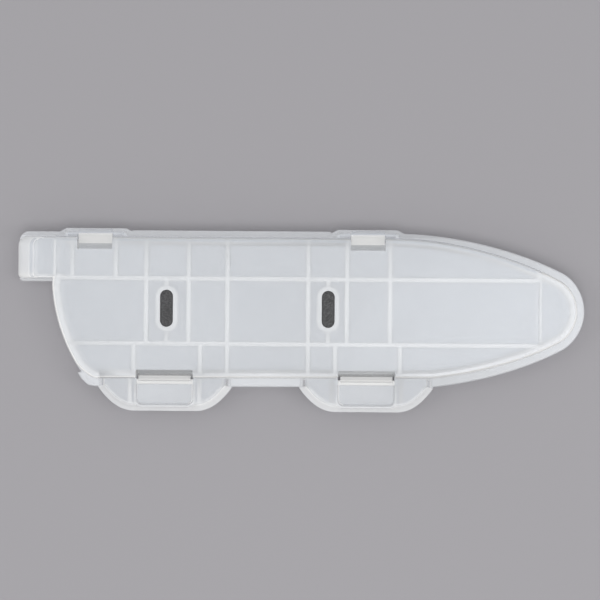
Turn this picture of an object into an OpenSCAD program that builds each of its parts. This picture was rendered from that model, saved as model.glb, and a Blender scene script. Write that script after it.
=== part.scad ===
// Clamshell guard for a chef's knife blade.
// Two translucent half shells snap onto a pin hinge along the spine and latch at the edge side.
// X runs from the neck to the tip, Y from the blade's edge to its spine, Z up out of the front face.
// The origin is at the bottom centre of the closed guard, which lies on its back face.

/* [Shell] */
// Length over the neck and the tip
guard_l = 300; // [280:1:320]
// Thickness of the closed guard
guard_h = 20; // [18:0.5:24]
// Thickness of the large faces
plate_t = 1.6; // [1.2:0.1:2]
// Thickness of the side walls
wall_t = 1.6; // [1.2:0.1:2]
// Thickness of the flange at the parting plane
flange_t = 1.5; // [1.2:0.1:1.8]
// Gap between the two flanges when closed
parting_gap = 0.1; // [0.05:0.05:0.2]
// How far the front flange stays inside the back flange
flange_step = 0.5; // [0.3:0.1:0.8]

/* [Ribs] */
// Thickness of the ribs
rib_t = 2; // [1.2:0.1:2.4]
// Gap between the front and back ribs that the blade lies in
blade_gap = 4.3; // [4.2:0.1:5]

/* [Grip pads] */
// Width of a pad where it shows in its slot
pad_w = 6.8; // [5:0.2:8]
// Length of a pad where it shows in its slot
pad_l = 19.5; // [16:0.5:22]
// How far the gripping head reaches past its stem all round
pad_lip = 1.6; // [1:0.1:2]
// Wall of the socket round a pad
socket_t = 2.3; // [2.1:0.1:2.6]
// Gap between the front and back pads when closed
pad_gap = 1.2; // [0.8:0.1:2]

/* [Hinge] */
// Diameter of the hinge pins
pin_d = 2.1; // [1.8:0.1:2.4]
// Radial clearance between pin and hook
pin_clear = 0.1; // [0.05:0.01:0.1]
// Wall of the hook round the pin
hook_t = 1.2; // [1:0.1:1.2]
// Width of a hinge hook
hook_w = 17.5; // [14:0.5:18]

/* [Latch] */
// Width of a latch hook
latch_w = 27.5; // [20:0.5:28]
// Thickness of the springing latch arm
arm_t = 1.5; // [1.2:0.1:1.6]
// How far the hook's nose reaches over its keeper
nose_reach = 1.1; // [0.8:0.1:1.3]

/* [Hidden] */

milky = [0.87, 0.89, 0.91];
milky_rib = [0.93, 0.93, 0.92];
rubber = [0.27, 0.27, 0.28];

half_h = guard_h / 2;
ceiling = half_h - plate_t;
stretch = guard_l / 300;
curve_steps = 12;
past = 1;

// Places along X stretch with the guard's length
function at_x(x) = x * stretch;

// Outline of the closed guard at the parting plane. Each point is [x, y, flange width there].
top_y = 46.4;
edge_y = -35.7;
spine_end = [at_x(52), top_y];
tip_top = [at_x(138.2), 26.2];
tip_front = [at_x(150), 5.4];
tip_low = [at_x(137.8), -15];
belly_end = [at_x(69.6), -34.8];
heel_low = [at_x(-107), edge_y];
heel_mid = [at_x(-118.7), -24.3];
heel_top = [at_x(-132.2), 19.5];
spine_flange = 2.2;
tip_flange = 4.1;
edge_flange = 4.5;
heel_flange = 0.4;
tab_round_steps = 8;

function bezier(a, b, c, d, t) =
    pow(1 - t, 3) * a + 3 * t * pow(1 - t, 2) * b + 3 * t * t * (1 - t) * c + pow(t, 3) * d;

// A curved stretch from a to d, without its last point, whose flange width goes from wa to wd
function stretch_of(a, b, c, d, wa, wd, steps = curve_steps) =
    [for (i = [0 : steps - 1])
        let (t = i / steps, p = bezier(a, b, c, d, t))
        [p[0], p[1], wa + (wd - wa) * t]];

guard_outline = concat(
    [[at_x(-132.4), top_y, spine_flange]],
    stretch_of(spine_end, [at_x(82), 46.3], [at_x(115), 37.9], tip_top, spine_flange, tip_flange),
    stretch_of(tip_top, [at_x(144.9), 22.8], [at_x(150), 14.8], tip_front, tip_flange, tip_flange),
    stretch_of(tip_front, [at_x(150), -2.2], [at_x(145.4), -11.1], tip_low, tip_flange, tip_flange),
    stretch_of(tip_low, [at_x(119.2), -24.9], [at_x(94.5), -32], belly_end, tip_flange, edge_flange),
    [[belly_end[0], belly_end[1], edge_flange]],
    stretch_of(heel_low, [at_x(-112), -34.6], [at_x(-115.8), -29.2], heel_mid, edge_flange, heel_flange),
    stretch_of(heel_mid, [at_x(-126.4), -12], [at_x(-131.6), 4], heel_top, heel_flange, heel_flange)
);

// The outline runs clockwise, so a point's inward side is on the right of the way it runs
function unit(v) = v / norm(v);
function right_of(a, b) = unit([b[1] - a[1], a[0] - b[0]]);
function inset_point(a, b, c, d) =
    let (n = right_of([a[0], a[1]], [b[0], b[1]]), m = right_of([b[0], b[1]], [c[0], c[1]]))
    [b[0], b[1]] + (n + m) * d / (1 + n * m);

// The outline moved inward by a share of its flange width and a further distance
function ring(outline, share, further) =
    let (last = len(outline) - 1)
    [for (i = [0 : last])
        inset_point(outline[i == 0 ? last : i - 1], outline[i], outline[i == last ? 0 : i + 1],
            outline[i][2] * share + further)];

function lift(points, z) = [for (p = points) [p[0], p[1], z]];

// A convex solid through rings of equal length that lie one above the other
module solid_through(rings) {
    count = len(rings[0]);
    levels = len(rings);
    sides = [for (k = [0 : levels - 2]) for (i = [0 : count - 1])
        let (j = (i + 1) % count)
        [k * count + i, (k + 1) * count + i, (k + 1) * count + j, k * count + j]];
    bottom = [for (i = [0 : count - 1]) i];
    top = [for (i = [0 : count - 1]) levels * count - 1 - i];
    hull() polyhedron(points = [for (r = rings) for (p = r) p], faces = concat(sides, [bottom], [top]));
}

// Half shells are drawn with the parting plane at Z 0 and the face at half_h, then put in place
module as_front() translate([0, 0, half_h]) children();
module as_back() translate([0, 0, half_h]) mirror([0, 0, 1]) children();

// Blade chamber: its wall leans in a little and rounds over into the face
wall_draft = 0.4;
edge_round = 1.5;
round_start = 0.6;

module chamber_outer(base) {
    solid_through([
        lift(ring(guard_outline, 1, 0), base),
        lift(ring(guard_outline, 1, wall_draft), half_h - edge_round),
        lift(ring(guard_outline, 1, wall_draft + edge_round * 0.3), half_h - edge_round * 0.4),
        lift(ring(guard_outline, 1, wall_draft + edge_round), half_h)
    ]);
}

module chamber_inner() {
    solid_through([
        lift(ring(guard_outline, 1, wall_t), -past),
        lift(ring(guard_outline, 1, wall_t + wall_draft), ceiling - round_start),
        lift(ring(guard_outline, 1, wall_t + wall_draft + round_start), ceiling)
    ]);
}

// Neck round the knife's bolster: a box with two rounded corners at its open end.
// Its face slopes down to a lip at the mouth.
neck_left = at_x(-149.6);
neck_right = at_x(-124);
neck_top_r = 5;
neck_low_r = 2.5;
neck_steps = 6;
neck_wall_top = top_y - spine_flange;
neck_high = neck_wall_top - 0.3;
neck_front_low = 21.2;
neck_back_low = 20;
neck_draft = 0.3;
neck_round = 1.6;
neck_soft = 0.5;
neck_ramp = 8.4;
ramp_round = 2;
lip_round = 0.5;
mouth_past = 3;
mouth_lip_z = half_h * 0.52;
mouth_ramp_z = half_h * 0.64;
mouth_roof_z = mouth_lip_z - plate_t + 0.2;

function neck_ring(left, low, high, d) =
    let (x = left + d, a = low + d, b = high - d, rt = neck_top_r - d / 2, rl = neck_low_r - d / 2)
    let (turn = 90 / neck_steps)
    concat(
        [for (i = [0 : neck_steps]) [x + rt - rt * cos(i * turn), b - rt + rt * sin(i * turn)]],
        [[neck_right, b], [neck_right, a]],
        [for (i = [0 : neck_steps]) [x + rl - rl * sin(i * turn), a + rl - rl * cos(i * turn)]]
    );

module neck_outer(base, low) {
    ramp_end = neck_left + neck_ramp;
    solid_through([
        lift(neck_ring(neck_left, low, neck_high, 0), base),
        lift(neck_ring(neck_left, low, neck_high, neck_draft / 3), mouth_lip_z),
        lift(neck_ring(neck_left + lip_round, low, neck_high, neck_draft), mouth_ramp_z),
        lift(neck_ring(ramp_end - ramp_round, low, neck_high, neck_round / 2), half_h - neck_soft),
        lift(neck_ring(ramp_end, low, neck_high, neck_round), half_h)
    ]);
}

module neck_inner(low) {
    floor_y = low + wall_t;
    roof_y = neck_high - wall_t;
    solid_through([
        lift(neck_ring(neck_left - mouth_past, floor_y, roof_y, 0), -past),
        lift(neck_ring(neck_left - mouth_past, floor_y, roof_y, neck_draft), mouth_roof_z),
        lift(neck_ring(neck_left + neck_ramp + plate_t, floor_y, roof_y, 2 * neck_draft), ceiling)
    ]);
}

// Thumb tabs at the latches: a low plateau with sloping sides and a recess for the thumb
tab_xs = [at_x(-71.9), at_x(34.6)];
tab_half = 35.5;
tab_flat_half = 16.4;
tab_low_y = -48.3;
tab_root_y = -35.6;
tab_end_y = tab_root_y + 2;
tab_h = half_h * 0.55;
tab_slope = 3.5;
tab_draft = 0.1;
tab_round = 0.8;
tab_soft = 0.5;
tab_edge_h = 1;
tab_wall = 1.4;
tab_joint_y = -29.5;
tab_void_y = -31.4;

tab_curve = concat(
    stretch_of([tab_half, tab_root_y], [30.8, -42.3], [24.5, tab_low_y], [tab_flat_half, tab_low_y], 0, 0,
        tab_round_steps),
    [[tab_flat_half, tab_low_y, 0]]
);
tab_outline = concat(
    [[tab_half, tab_end_y, 0]],
    tab_curve,
    [for (i = [len(tab_curve) - 1 : -1 : 0]) [-tab_curve[i][0], tab_curve[i][1], 0]],
    [[-tab_half, tab_end_y, 0]]
);

// The tab's outline moved inward on its free sides and closed along one line inside the guard
function tab_ring(d, close_y) =
    let (r = ring(tab_outline, 0, d), last = len(r) - 1)
    concat([[r[0][0], close_y]], [for (i = [1 : last - 1]) r[i]], [[r[last][0], close_y]]);

module tab_outer(base) {
    solid_through([
        lift(tab_ring(0, tab_joint_y), base),
        lift(tab_ring(tab_draft, tab_joint_y), base + tab_edge_h),
        lift(tab_ring(tab_slope, tab_joint_y), tab_h - tab_soft),
        lift(tab_ring(tab_slope + tab_round, tab_joint_y), tab_h)
    ]);
}

module tab_inner() {
    solid_through([
        lift(tab_ring(tab_wall, tab_void_y), -past),
        lift(tab_ring(tab_wall + tab_round, tab_void_y), tab_edge_h),
        lift(tab_ring(tab_wall + tab_slope, tab_void_y), tab_h - plate_t)
    ]);
}

// Latch windows and thumb recesses
window_half = 15;
recess_half = 14.8;
window_top_y = -26.2;
keeper_in_y = -31.3;
keeper_out_y = -33.9;
recess_low_y = -44.6;
recess_r = 2.7;
recess_wall = 1.3;
tab_rib_x = 18.4;
tab_rib_t = 1.4;
tab_rib_overlap = 0.3;
tub_overlap = 0.4;

module box_from(a, b) translate(a) cube(b - a);

module tub(front) {
    top_edge = front ? keeper_out_y + tub_overlap : tab_void_y;
    box_from([-window_half - recess_wall, recess_low_y - recess_wall, front ? parting_gap : 0],
        [window_half + recess_wall, top_edge, tab_h]);
}

module recess(front) {
    floor_z = flange_t + (front ? parting_gap : 0);
    translate([0, 0, floor_z]) linear_extrude(half_h) union() {
        translate([-recess_half, recess_low_y + recess_r])
            square([2 * recess_half, keeper_out_y + (front ? tub_overlap : 0) - recess_low_y - recess_r]);
        translate([-recess_half + recess_r, recess_low_y])
            square([2 * (recess_half - recess_r), recess_r + past]);
        for (s = [-1, 1]) translate([s * (recess_half - recess_r), recess_low_y + recess_r])
            circle(r = recess_r, $fn = 32);
    }
}

module tab_ribs(front) {
    for (s = [-1, 1])
        box_from([s * tab_rib_x - tab_rib_t / 2, recess_low_y, front ? tab_edge_h : tab_edge_h - parting_gap],
            [s * tab_rib_x + tab_rib_t / 2, tab_void_y + tab_rib_overlap, tab_h - plate_t / 2]);
}

// Hinge: pins on the front shell lie in hooks that stand on lugs of the back shell
hinge_xs = [at_x(-108.85), at_x(34.95)];
axis_y = 45.4;
axis_z = 2.4;
lug_y = 48.3;
lug_half = 17.6;
lug_slant = 3.6;
lug_root = 3;
skirt_y = 47.3;
skirt_from = at_x(-89.9);
skirt_to = at_x(15.5);
ear_half = 15.6;
ear_wall = 0.25;
ear_t = 1.5;
ear_r = pin_d / 2 + ear_wall;
hinge_window_half = 9.2;
hinge_window_y = 37.2;
tail_y = 40.2;

module lug_shape() {
    wide = lug_half + lug_slant / 2;
    narrow = lug_half - lug_slant / 2;
    polygon([[-wide, top_y - lug_root], [-wide, top_y], [-narrow, lug_y],
        [narrow, lug_y], [wide, top_y], [wide, top_y - lug_root]]);
}

// Flange round the parting plane with a flat foot at the heel
foot_corners = [
    [-104, -35.5], [-108.6, -35.5], [-112.6, -34.9], [-116.1, -31.7],
    [-118.4, -28.3], [-116.1, -27.5], [-108, -28]
];
front_flange_from = at_x(75);
flange_tuck = 0.2;

module flange_shape(front) {
    step = front ? flange_step : 0;
    polygon(ring(guard_outline, 0, step));
    offset(delta = -step) polygon([for (p = foot_corners) [at_x(p[0]), p[1]]]);
    polygon(neck_ring(neck_left + flange_tuck, neck_front_low + flange_tuck, top_y, 0));
    if (!front) {
        translate([skirt_from, top_y - lug_root]) square([skirt_to - skirt_from, skirt_y - top_y + lug_root]);
        for (x = hinge_xs) translate([x, 0]) lug_shape();
    }
}

module flange(front) {
    base = front ? parting_gap : 0;
    difference() {
        translate([0, 0, base]) linear_extrude(flange_t - base) flange_shape(front);
        if (front) box_from([neck_left - past, neck_wall_top, -past],
            [front_flange_from, lug_y, flange_t + past]);
    }
}

module ears() {
    for (s = [-1, 1]) translate([s * ear_half, 0, axis_z]) {
        translate([0, axis_y, 0]) rotate([0, 90, 0]) cylinder(r = ear_r, h = ear_t, center = true, $fn = 32);
        box_from([-ear_t / 2, neck_wall_top - wall_t / 2, -ear_r], [ear_t / 2, axis_y, ear_r]);
    }
}

// Pads sit in slots of the faces
pad_xs = [at_x(-70.9), at_x(14.15)];
pad_y = 6.15;
socket_z = 3;

module stadium(w, l, h) {
    linear_extrude(h) union() {
        square([w, l - w], center = true);
        for (s = [-1, 1]) translate([0, s * (l - w) / 2]) circle(r = w / 2, $fn = 48);
    }
}

module half_shell(front) {
    base = front ? parting_gap : 0;
    low = front ? neck_front_low : neck_back_low;
    difference() {
        union() {
            difference() {
                union() {
                    chamber_outer(base);
                    neck_outer(base, low);
                    for (x = tab_xs) translate([x, 0, 0]) tab_outer(base);
                    flange(front);
                    if (front) for (x = hinge_xs) translate([x, 0, 0]) ears();
                }
                chamber_inner();
                neck_inner(low);
                for (x = tab_xs) translate([x, 0, 0]) tab_inner();
            }
            for (x = tab_xs) translate([x, 0, 0]) {
                tub(front);
                tab_ribs(front);
            }
        }
        for (x = tab_xs) translate([x, 0, 0]) recess(front);
        for (x = pad_xs) translate([x, pad_y, 0]) stadium(pad_w, pad_l, half_h + past);
        if (front) front_windows(); else latch_rooms();
    }
}

module front_windows() {
    for (x = tab_xs) translate([x, 0, 0])
        box_from([-window_half, keeper_out_y, -past], [window_half, window_top_y, half_h + past]);
    for (x = hinge_xs) translate([x, 0, 0])
        box_from([-hinge_window_half, hinge_window_y, -past], [hinge_window_half, lug_y, half_h + past]);
}

// The back shell's edge wall makes room for each latch arm
arm_out_y = keeper_in_y + 0.4;
arm_in_y = arm_out_y + arm_t;
arm_room = 2;
root_gap = 0.05;

module latch_rooms() {
    for (x = tab_xs) translate([x, 0, 0])
        box_from([-window_half, tab_void_y, -past], [window_half, arm_in_y + arm_room, ceiling]);
}

// Rib grid of a half: long ribs that fork out to the wall at the tip, cross ribs, and short ribs at the pads.
// Each rib is a straight bar of its own, a hair clear of the bars that it meets.
upper_rib_y = 21.9;
lower_rib_y = -12.4;
rib_start_x = at_x(-140);
rib_end_x = at_x(123.5);
fork_x = 9;
fork_up = 8;
fork_down = 7;
fork_room = 0.8;
upper_cross_xs = [for (x = [-120.6, -97.8]) at_x(x)];
middle_cross_xs = [for (x = [-81.7, -59.3, 24, 46.7]) at_x(x)];
full_cross_xs = [for (x = [-38.9, 3.6]) at_x(x)];
lower_cross_xs = [for (x = [-88.1, -53.1, 17.9, 52.1]) at_x(x)];
neck_rib_x = at_x(-129.8);
low_rib_x = at_x(126);
rib_h = ceiling - blade_gap / 2;
low_rib_h = 2;
far_y = 60;
rib_gap = 0.1;
rib_clear = rib_t / 2 + rib_gap;
socket_reach = pad_l / 2 + socket_t + rib_gap;

module straight_rib(a, b, h = rib_h) {
    run = b - a;
    intersection() {
        translate([a[0], a[1], ceiling - h]) rotate([0, 0, atan2(run[1], run[0])])
            translate([0, -rib_t / 2, 0]) cube([norm(run), rib_t, h + past]);
        chamber_inner();
    }
}

module spine_rib(x, h = rib_h) straight_rib([x, upper_rib_y + rib_clear], [x, far_y], h);
module middle_rib(x, h = rib_h) straight_rib([x, lower_rib_y + rib_clear], [x, upper_rib_y - rib_clear], h);
module edge_rib(x) straight_rib([x, lower_rib_y - rib_clear], [x, -far_y]);

module rib_grid() {
    for (y = [upper_rib_y, lower_rib_y]) straight_rib([rib_start_x, y], [rib_end_x - fork_room, y]);
    straight_rib([rib_end_x, upper_rib_y], [rib_end_x + fork_x, upper_rib_y + fork_up]);
    straight_rib([rib_end_x, lower_rib_y], [rib_end_x + fork_x, lower_rib_y - fork_down]);
    for (x = concat(upper_cross_xs, middle_cross_xs, full_cross_xs)) spine_rib(x);
    for (x = concat(middle_cross_xs, full_cross_xs)) middle_rib(x);
    for (x = concat(full_cross_xs, lower_cross_xs)) edge_rib(x);
    for (x = pad_xs) {
        straight_rib([x, pad_y + socket_reach], [x, upper_rib_y - rib_clear]);
        straight_rib([x, pad_y - socket_reach], [x, lower_rib_y + rib_clear]);
    }
    spine_rib(neck_rib_x, low_rib_h);
    middle_rib(low_rib_x, low_rib_h);
}

module pad_socket(x) {
    translate([x, pad_y, socket_z]) difference() {
        stadium(pad_w + 2 * socket_t, pad_l + 2 * socket_t, ceiling - socket_z);
        translate([0, 0, -past]) stadium(pad_w, pad_l, half_h);
    }
}

pad_sink = 0.4;

module grip_pad(x) {
    translate([x, pad_y, 0]) {
        translate([0, 0, pad_gap / 2])
            stadium(pad_w + 2 * pad_lip, pad_l + 2 * pad_lip, socket_z - pad_gap / 2);
        translate([0, 0, pad_gap / 2]) stadium(pad_w, pad_l, half_h - pad_sink - pad_gap / 2);
    }
}

// Snap hook: three quarters of a ring on a foot, with a tail that leads the pin in
hook_in_r = pin_d / 2 + pin_clear;
hook_out_r = hook_in_r + hook_t;
hook_open = 0.4;

module hinge_hook(x) {
    translate([x - hook_w / 2, axis_y, axis_z]) rotate([90, 0, 90]) linear_extrude(hook_w) difference() {
        union() {
            circle(r = hook_out_r, $fn = 64);
            translate([0, -axis_z]) square([hook_out_r, axis_z]);
            translate([tail_y - axis_y, hook_out_r - hook_t]) square([axis_y - tail_y, hook_t]);
        }
        circle(r = hook_in_r, $fn = 64);
        translate([-hook_out_r - past, -axis_z - past])
            square([hook_out_r + past + hook_in_r, axis_z + past - hook_open]);
    }
}

module hinge_pin(x) {
    length = 2 * ear_half - ear_t;
    translate([x, axis_y, axis_z]) rotate([0, 90, 0])
        cylinder(d = pin_d, h = length, center = true, $fn = 48);
}

// Latch: an arm that springs from its root on the back shell, with a head over the keeper
keeper_top = 3.8;
head_gap = 0.15;
head_h = 2.3;
head_in = 0.4;
head_soft = 0.8;
nose_h = 0.9;
nose_back = 0.3;
root_z = ceiling - arm_t / 2 - root_gap;
head_base = keeper_top + head_gap;

module latch_hook(x) {
    mid_y = arm_out_y + arm_t / 2;
    arm_top = head_base + head_h;
    translate([x - latch_w / 2, 0, 0]) rotate([90, 0, 90]) linear_extrude(latch_w) union() {
        translate([mid_y, -root_z]) circle(r = arm_t / 2, $fn = 32);
        polygon([
            [arm_out_y, -root_z],
            [arm_in_y, -root_z],
            [arm_in_y + head_in, arm_top - head_soft],
            [arm_in_y, arm_top],
            [keeper_in_y - nose_back, arm_top],
            [keeper_in_y - nose_reach, head_base + nose_h],
            [keeper_in_y - nose_reach, head_base],
            [arm_out_y, head_base]
        ]);
    }
}

module latch_keeper(x) {
    box_from([x - window_half, keeper_out_y, parting_gap], [x + window_half, keeper_in_y, keeper_top]);
}

module back_shell() color(milky) as_back() half_shell(false);
module back_rib_grid() color(milky_rib) as_back() rib_grid();
module front_shell() color(milky) as_front() half_shell(true);
module front_rib_grid() color(milky_rib) as_front() rib_grid();

module back_pad_socket_left() color(milky_rib) as_back() pad_socket(pad_xs[0]);
module back_pad_socket_right() color(milky_rib) as_back() pad_socket(pad_xs[1]);
module front_pad_socket_left() color(milky_rib) as_front() pad_socket(pad_xs[0]);
module front_pad_socket_right() color(milky_rib) as_front() pad_socket(pad_xs[1]);
module back_grip_pad_left() color(rubber) as_back() grip_pad(pad_xs[0]);
module back_grip_pad_right() color(rubber) as_back() grip_pad(pad_xs[1]);
module front_grip_pad_left() color(rubber) as_front() grip_pad(pad_xs[0]);
module front_grip_pad_right() color(rubber) as_front() grip_pad(pad_xs[1]);

module hinge_hook_left() color(milky_rib) as_front() hinge_hook(hinge_xs[0]);
module hinge_hook_right() color(milky_rib) as_front() hinge_hook(hinge_xs[1]);
module hinge_pin_left() color(milky_rib) as_front() hinge_pin(hinge_xs[0]);
module hinge_pin_right() color(milky_rib) as_front() hinge_pin(hinge_xs[1]);
module latch_hook_left() color(milky_rib) as_front() latch_hook(tab_xs[0]);
module latch_hook_right() color(milky_rib) as_front() latch_hook(tab_xs[1]);
module latch_keeper_left() color(milky_rib) as_front() latch_keeper(tab_xs[0]);
module latch_keeper_right() color(milky_rib) as_front() latch_keeper(tab_xs[1]);

back_shell();
back_rib_grid();
front_shell();
front_rib_grid();
back_pad_socket_left();
back_pad_socket_right();
front_pad_socket_left();
front_pad_socket_right();
back_grip_pad_left();
back_grip_pad_right();
front_grip_pad_left();
front_grip_pad_right();
hinge_hook_left();
hinge_hook_right();
hinge_pin_left();
hinge_pin_right();
latch_hook_left();
latch_hook_right();
latch_keeper_left();
latch_keeper_right();
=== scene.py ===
"""Looks of a clamshell guard for a chef's knife blade: frosted shells, ribs, hooks, latches, rubber pads."""
import math

import bpy
import numpy as np
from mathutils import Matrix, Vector


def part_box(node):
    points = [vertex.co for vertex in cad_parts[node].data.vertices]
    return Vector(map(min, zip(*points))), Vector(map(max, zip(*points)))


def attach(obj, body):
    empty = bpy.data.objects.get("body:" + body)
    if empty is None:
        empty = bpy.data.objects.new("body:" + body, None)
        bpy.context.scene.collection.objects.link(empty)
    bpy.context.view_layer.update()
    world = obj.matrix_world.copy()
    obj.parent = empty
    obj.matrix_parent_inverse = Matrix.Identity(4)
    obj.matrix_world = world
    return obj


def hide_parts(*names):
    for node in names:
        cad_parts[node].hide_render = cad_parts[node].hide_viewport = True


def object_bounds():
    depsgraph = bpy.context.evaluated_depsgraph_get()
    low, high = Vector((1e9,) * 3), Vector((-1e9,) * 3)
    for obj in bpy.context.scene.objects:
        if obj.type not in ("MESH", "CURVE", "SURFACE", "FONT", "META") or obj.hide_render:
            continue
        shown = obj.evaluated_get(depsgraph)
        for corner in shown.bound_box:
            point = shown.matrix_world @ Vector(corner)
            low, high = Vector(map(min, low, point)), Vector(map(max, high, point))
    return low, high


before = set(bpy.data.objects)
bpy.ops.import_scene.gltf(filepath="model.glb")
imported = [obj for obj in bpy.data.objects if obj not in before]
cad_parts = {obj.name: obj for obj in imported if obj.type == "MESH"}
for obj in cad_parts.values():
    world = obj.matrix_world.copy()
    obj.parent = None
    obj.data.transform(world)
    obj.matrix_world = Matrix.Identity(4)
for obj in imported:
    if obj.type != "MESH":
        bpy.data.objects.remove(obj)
cad_low, cad_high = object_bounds()

MM = 0.001


# Places of the construction, in millimetres
def box_mm(node):
    """Lowest and highest corner of a construction node, in millimetres."""
    low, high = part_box(node)
    return np.array(low) / MM, np.array(high) / MM


def middle(node, axis):
    """Middle of a construction node along one axis, in millimetres."""
    low, high = box_mm(node)
    return (low[axis] + high[axis]) / 2


SIDES = ("left", "right")
guard_h = round(cad_high[2] / MM, 3)
half_h = guard_h / 2
pad_xs = [middle(f"front_grip_pad_{side}", 0) for side in SIDES]
pad_y = middle("front_grip_pad_left", 1)
hinge_xs = [middle(f"hinge_pin_{side}", 0) for side in SIDES]
tab_xs = [middle(f"latch_keeper_{side}", 0) for side in SIDES]

# Walls of a half shell. Z 0 is the parting plane and half_h the face.
plate_t = 1.6
wall_t = 1.6
flange_t = 1.5
parting_gap = 0.1
flange_step = 0.5
wall_draft = 0.4
edge_round = 1.5
inner_round = 1.0
sharp_angle = 38
ceiling = half_h - plate_t
past = 1.0

# Outline of the closed guard at the parting plane, and the flange's width along it
top_y = 46.4
edge_y = -35.7
spine_end = (52, top_y)
tip_top = (138.2, 26.2)
tip_front = (150, 5.4)
tip_low = (137.8, -15)
belly_end = (69.6, -34.8)
heel_low = (-107, edge_y)
heel_mid = (-118.7, -24.3)
heel_top = (-132.2, 19.5)
spine_flange = 2.2
tip_flange = 4.1
edge_flange = 4.5
heel_flange = 0.4
outline_steps = 30
foot_corners = [(-104, -35.5), (-108.6, -35.5), (-112.6, -34.9), (-116.1, -31.7), (-118.4, -28.3),
                (-116.1, -27.5), (-108, -28)]
flange_soft = 0.35
plane_step = 0.01
front_flange_from = 75

# Neck round the bolster
neck_left = -149.6
neck_right = -124
neck_top_r = 5
neck_low_r = 2.5
neck_wall_top = top_y - spine_flange
neck_high = neck_wall_top - 0.3
neck_low = {"front": 21.2, "back": 20.0}
neck_ramp = 8.4
mouth_lip_z = 5.2
mouth_ramp_z = 6.4
neck_steps = 12

# Thumb tabs with their recesses, and the latch windows
tab_half = 35.5
tab_flat_half = 16.4
tab_low_y = -48.3
tab_root_y = -35.6
tab_h = half_h * 0.55
tab_slope = 3.5
tab_joint_y = -29.5
tab_void_y = -31.4
window_half = 15.0
window_top_y = -26.2
recess_half = 14.8
recess_low_y = -44.6
recess_r = 2.7
recess_wall = 1.3
recess_floor_r = 0.9
recess_lean = 0.35
recess_past = 6
tab_rib_x = 18.4
tab_rib_t = 1.4
keeper_in_y = -31.3
keeper_out_y = -33.9
arm_in_y = -29.4
arm_room = 2
tab_side = 20
window_r = 0.9
tab_rib_low = 0.95

# Hinge
axis_y = 45.4
axis_z = 2.4
lug_y = 48.3
lug_half = 17.6
lug_slant = 3.6
lug_root = 3
skirt_y = 47.3
skirt_from = -89.9
skirt_to = 15.5
ear_half = 15.6
ear_t = 1.5
ear_r = 1.3
ear_soft = 0.25
hinge_window_half = 9.2
hinge_window_y = 37.2

# Pads and sockets
pad_w = 6.8
pad_l = 19.5
pad_lip = 1.6
pad_gap = 1.2
pad_sink = 0.4
pad_play = 0.1
pad_head_r = 0.7
pad_crown = 0.12
socket_t = 2.3
socket_z = 3.0
socket_r = 0.5
socket_root = 0.3

# Ribs
rib_t = 2.0
rib_tip = 2.15
upper_rib_y = 21.9
lower_rib_y = -12.4
rib_start_x = -140
rib_end_x = 123.5
fork_x = 9
fork_up = 8
fork_down = 7
far_y = 60
upper_cross_xs = (-120.6, -97.8)
middle_cross_xs = (-81.7, -59.3, 24, 46.7)
full_cross_xs = (-38.9, 3.6)
lower_cross_xs = (-88.1, -53.1, 17.9, 52.1)
neck_rib_x = -129.8
low_rib_x = 126
low_rib_h = 2
low_rib_t = 1.2
low_rib_cover = 1.1
rib_tip_share = 0.75
rib_tip_r = 0.45
rib_fillet = 0.45
rib_cover = 0.35
rib_in_wall = 0.5
rib_in_socket = 0.3

# Milky hearts of the thick places: how far they stay inside the plastic, how wide the fin under the face
# is, how far in their foot starts, and how far past the neck's ramp they stay thin
skin = 0.35
fin = 1.9
heart_foot = 0.12
ramp_tail = 3

# Mark of the gate where the front shell was moulded
gate_at = (115.8, -18)
gate_r = 1.5
gate_deep = 0.3
gate_sides = 30

# Hinge hooks, pins and latches
pin_d = 2.1
pin_sides = 48
pin_soft = 0.15
hook_in_r = 1.15
hook_t = 1.2
hook_w = 17.9
hook_open = 0.4
hook_soft = 0.3
tail_y = 40.2
latch_w = 27.5
arm_t = 1.5
arm_root_z = -7.6
nose_reach = 1.1
keeper_top = 3.8
keeper_r = 0.5
keeper_soft = 0.1
head_base = keeper_top + 0.15
head_h = 2.3
latch_soft = 0.3


# Lines in the plane
def bezier(a, b, c, d, steps):
    """Points of the cubic curve from a to d with handles b and c, without its last point."""
    t = np.linspace(0, 1, steps, endpoint=False)[:, None]
    a, b, c, d = (np.array(p, float) for p in (a, b, c, d))
    return (1 - t) ** 3 * a + 3 * t * (1 - t) ** 2 * b + 3 * t * t * (1 - t) * c + t ** 3 * d


def stretch_of(a, b, c, d, wide_a, wide_d):
    """A curved stretch of the outline with the flange's width, which changes evenly along it."""
    points = bezier(a, b, c, d, outline_steps)
    wide = np.linspace(wide_a, wide_d, outline_steps, endpoint=False)
    return np.column_stack([points, wide])


def inset(line, share, further):
    """The closed line moved to its right along the mean of its neighbouring normals, by share of the width
    that its third column gives plus a further distance, with the corners kept sharp."""
    p = line[:, :2]

    def right(v):
        v = v / np.linalg.norm(v, axis=1, keepdims=True)
        return np.column_stack([v[:, 1], -v[:, 0]])

    n = right(p - np.roll(p, 1, 0))
    m = right(np.roll(p, -1, 0) - p)
    reach = (line[:, 2] * share + further)[:, None] if line.shape[1] > 2 else further
    return p + (n + m) * reach / (1 + (n * m).sum(1, keepdims=True))


def arc(centre, radius, start, end, steps):
    """Points on a circle from the start angle to the end angle, in degrees, both ends included."""
    a = np.radians(np.linspace(start, end, steps + 1))
    return np.column_stack([centre[0] + radius * np.cos(a), centre[1] + radius * np.sin(a)])


def round_top(d, top, r, steps):
    """Corners of a quarter circle, each a distance inward and a height: upright at distance d, it turns
    inward and ends level at the top."""
    turn = np.radians(np.linspace(0, 90, steps + 1))
    return [(d + r * (1 - math.cos(t)), top - r * (1 - math.sin(t))) for t in turn]


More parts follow.
